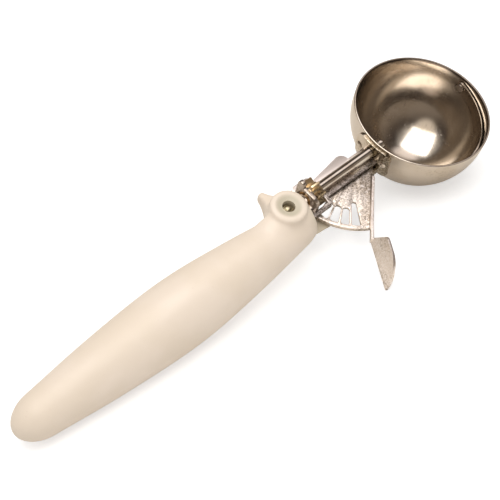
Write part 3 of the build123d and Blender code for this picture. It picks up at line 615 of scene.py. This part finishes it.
# Handle rivet: it goes through the boss, the tang and the head, with a head over a washer at each end and
# a small crown on the upper one. It is copper-plated steel, gone brown and green in its recess.
copper_rivet = metal("copper_rivet", (0.5, 0.45, 0.32), (0.34, 0.28, 0.17), (0.1, 0.08, 0.04),
                     0.8, 0.7, 0.24, 0.2, relief=0.1)
CROWN_FOOT = 4.3 * MM
CROWN_RADIUS = 1.6 * MM
CROWN_HEIGHT = 0.6 * MM
paint(frame["nodes"]["handle_rivet"], copper_rivet)
bpy.ops.object.select_all(action="DESELECT")
crown_ball = (CROWN_RADIUS**2 + CROWN_HEIGHT**2) / (2 * CROWN_HEIGHT)
bpy.ops.mesh.primitive_uv_sphere_add(segments=64, ring_count=96, radius=crown_ball,
                                     location=(RIVET_X, RIVET_Y, CROWN_FOOT + CROWN_HEIGHT - crown_ball))
start_edit()
bpy.ops.mesh.select_all(action="SELECT")
bpy.ops.mesh.bisect(plane_co=(RIVET_X, RIVET_Y, CROWN_FOOT), plane_no=(0, 0, -1), use_fill=True, clear_outer=True)
settle(finish_edit(), "rivet_crown", copper_rivet, "rivet_steel", "scoop")
paint(frame["nodes"]["rivet_washers"], bearing_bronze)


# Floor: a plain matt white disc under the scoop as it lies on its bowl, pad and handle. It glows so that
# the camera sees it white with the shadow kept. It is dimmer and tanner to the metal, and clear from below.
FLOOR_NORMAL = Vector((0.0791, 0.4290, 0.8998))
FLOOR_DROP = -31.65 * MM
FLOOR_RADIUS = 450.0 * MM
FLOOR_GLOW = 0.5
MIRRORED_SHARE = 0.24


def stage_tree(finish):
    """Turns nodes on for a finish or the world, and hands back the emptied tree."""
    finish.use_nodes = True
    finish.node_tree.nodes.clear()
    return finish.node_tree


floor_turn = Vector((0, 0, 1)).rotation_difference(FLOOR_NORMAL).to_euler()
scoop_middle = Vector((-85 * MM, 0, 0))
floor_spot = scoop_middle - (scoop_middle.dot(FLOOR_NORMAL) - FLOOR_DROP) * FLOOR_NORMAL
bpy.ops.mesh.primitive_circle_add(vertices=96, radius=FLOOR_RADIUS, fill_type="NGON", location=floor_spot,
                                  rotation=floor_turn)
floor = bpy.context.object
floor.name = "floor"
floor_white = bpy.data.materials.new("floor_white")
tree = stage_tree(floor_white)
light_path = new_node(tree, "ShaderNodeLightPath")
mirrored = maths(tree, "MAXIMUM", light_path.outputs["Is Glossy Ray"], light_path.outputs["Is Transmission Ray"])
seen = maths(tree, "MAXIMUM", light_path.outputs["Is Camera Ray"], maths(tree, "MULTIPLY", mirrored, MIRRORED_SHARE))
matt_colour = blend_colour(tree, mirrored, (0.78, 0.78, 0.78, 1), (0.78, 0.72, 0.64, 1))
glow_colour = blend_colour(tree, mirrored, (1, 1, 1, 1), (1, 0.92, 0.82, 1))
matt = new_node(tree, "ShaderNodeBsdfDiffuse", matt_colour).outputs[0]
glow = new_node(tree, "ShaderNodeEmission", glow_colour, maths(tree, "MULTIPLY", seen, FLOOR_GLOW)).outputs[0]
lit = new_node(tree, "ShaderNodeAddShader", matt, glow).outputs[0]
clear = new_node(tree, "ShaderNodeBsdfTransparent").outputs[0]
behind = new_node(tree, "ShaderNodeNewGeometry").outputs["Backfacing"]
shown = new_node(tree, "ShaderNodeMixShader", behind, lit, clear).outputs[0]
new_node(tree, "ShaderNodeOutputMaterial", shown)
paint(floor, floor_white)


# Sky: an even white fill from all round, and the only one. It is at full white to the camera, which sees
# it past the floor's edge, and weaker as light on the scoop.
SKY_FILL = 0.58
SKY_SEEN = 0.42
world = bpy.data.worlds.new("studio")
bpy.context.scene.world = world
tree = stage_tree(world)
light_path = new_node(tree, "ShaderNodeLightPath")
seen = maths(tree, "MAXIMUM", light_path.outputs["Is Camera Ray"],
             maths(tree, "MAXIMUM", light_path.outputs["Is Glossy Ray"], light_path.outputs["Is Transmission Ray"]))
strength = maths(tree, "ADD", maths(tree, "MULTIPLY", seen, SKY_SEEN), SKY_FILL)
sky = new_node(tree, "ShaderNodeBackground", (1, 1, 1, 1), strength)
new_node(tree, "ShaderNodeOutputWorld", sky.outputs[0])


# Walls: a room round the scoop, tan at the sides and dark brown above. Only mirror rays see it, so it
# hides the sky from the metal. Its pale spots give the lamp's highlight, the plates' sheen and the light
# on the bowl's upper wall.
WALL_RADIUS = 1.5
WALL_TAN = (0.28, 0.228, 0.182, 1)
WALL_DARK = (0.042, 0.03, 0.025, 1)
LAMP_WAY = (-0.08, 0.28, 0.95)
SHEEN_WAY = (0.53, 0.30, 0.793)
RIM_WAY = (-0.5, 0.12, 0.858)
bpy.ops.mesh.primitive_uv_sphere_add(segments=64, ring_count=32, radius=WALL_RADIUS)
walls = bpy.context.object
walls.name = "studio_walls"
for ray in ("camera", "diffuse", "shadow", "transmission", "volume_scatter"):
    setattr(walls, "visible_" + ray, False)
wall_paint = bpy.data.materials.new("studio_walls")
tree = stage_tree(wall_paint)
place = new_node(tree, "ShaderNodeTexCoord").outputs["Object"]
way = new_node(tree, "ShaderNodeVectorMath", place, operation="NORMALIZE").outputs[0]
rise = new_node(tree, "ShaderNodeVectorMath", way, tuple(FLOOR_NORMAL), operation="DOT_PRODUCT").outputs["Value"]
blotch = noise(tree, place, 1.6, 2.0)
above = spread(tree, maths(tree, "ADD", rise, maths(tree, "MULTIPLY", blotch, 0.3)), 0.35, 0.95)
wall_colour = blend_colour(tree, above, WALL_TAN, WALL_DARK)
for spot, inner, outer, tint in (
    (LAMP_WAY, 0.97, 0.74, (0.8, 0.74, 0.68, 1)), (SHEEN_WAY, 0.985, 0.93, (1.2, 1.08, 1.02, 1)),
    (RIM_WAY, 0.985, 0.92, (0.88, 0.78, 0.66, 1)),
):
    near = new_node(tree, "ShaderNodeVectorMath", way, spot, operation="DOT_PRODUCT").outputs["Value"]
    wall_colour = blend_colour(tree, spread(tree, near, outer, inner), wall_colour, tint)
glow = new_node(tree, "ShaderNodeEmission", wall_colour, 1.0).outputs[0]
new_node(tree, "ShaderNodeOutputMaterial", glow)
paint(walls, wall_paint)


# Lamp: one large square soft lamp overhead, slightly warm, that faces the bowl and gives the scoop its
# soft shadow. The camera doesn't see it.
LAMP_DISTANCE = 0.8
LAMP_SIZE = 0.7
LAMP_WATTS = 4.0
LAMP_COLOUR = (1.0, 0.97, 0.94)
lamp_place = Vector(LAMP_WAY).normalized() * LAMP_DISTANCE
bpy.ops.object.light_add(type="AREA", location=lamp_place, rotation=lamp_place.to_track_quat("Z", "Y").to_euler())
lamp = bpy.context.object
lamp.name = "overhead_lamp"
lamp.data.shape = "SQUARE"
lamp.data.size = LAMP_SIZE
lamp.data.energy = LAMP_WATTS
lamp.data.color = LAMP_COLOUR
lamp.visible_camera = False


# Camera: above the handle's tail and to the pad's side of it, looking forward and down at the scoop with
# a longish lens. The view's colours are left plain.
CAMERA_PLACE = (-0.23575, -0.10097, 0.27135)
CAMERA_TURN = (0.53637, -0.13430, -0.73891)
SENSOR_WIDTH = 36.0
FOCAL_LENGTH = 65.38
NEAR_CLIP = 0.01
bpy.ops.object.camera_add(location=CAMERA_PLACE, rotation=CAMERA_TURN)
camera = bpy.context.object
camera.data.sensor_width = SENSOR_WIDTH
camera.data.lens = FOCAL_LENGTH
camera.data.clip_start = NEAR_CLIP
bpy.context.scene.camera = camera
bpy.context.scene.view_settings.view_transform = "Standard"
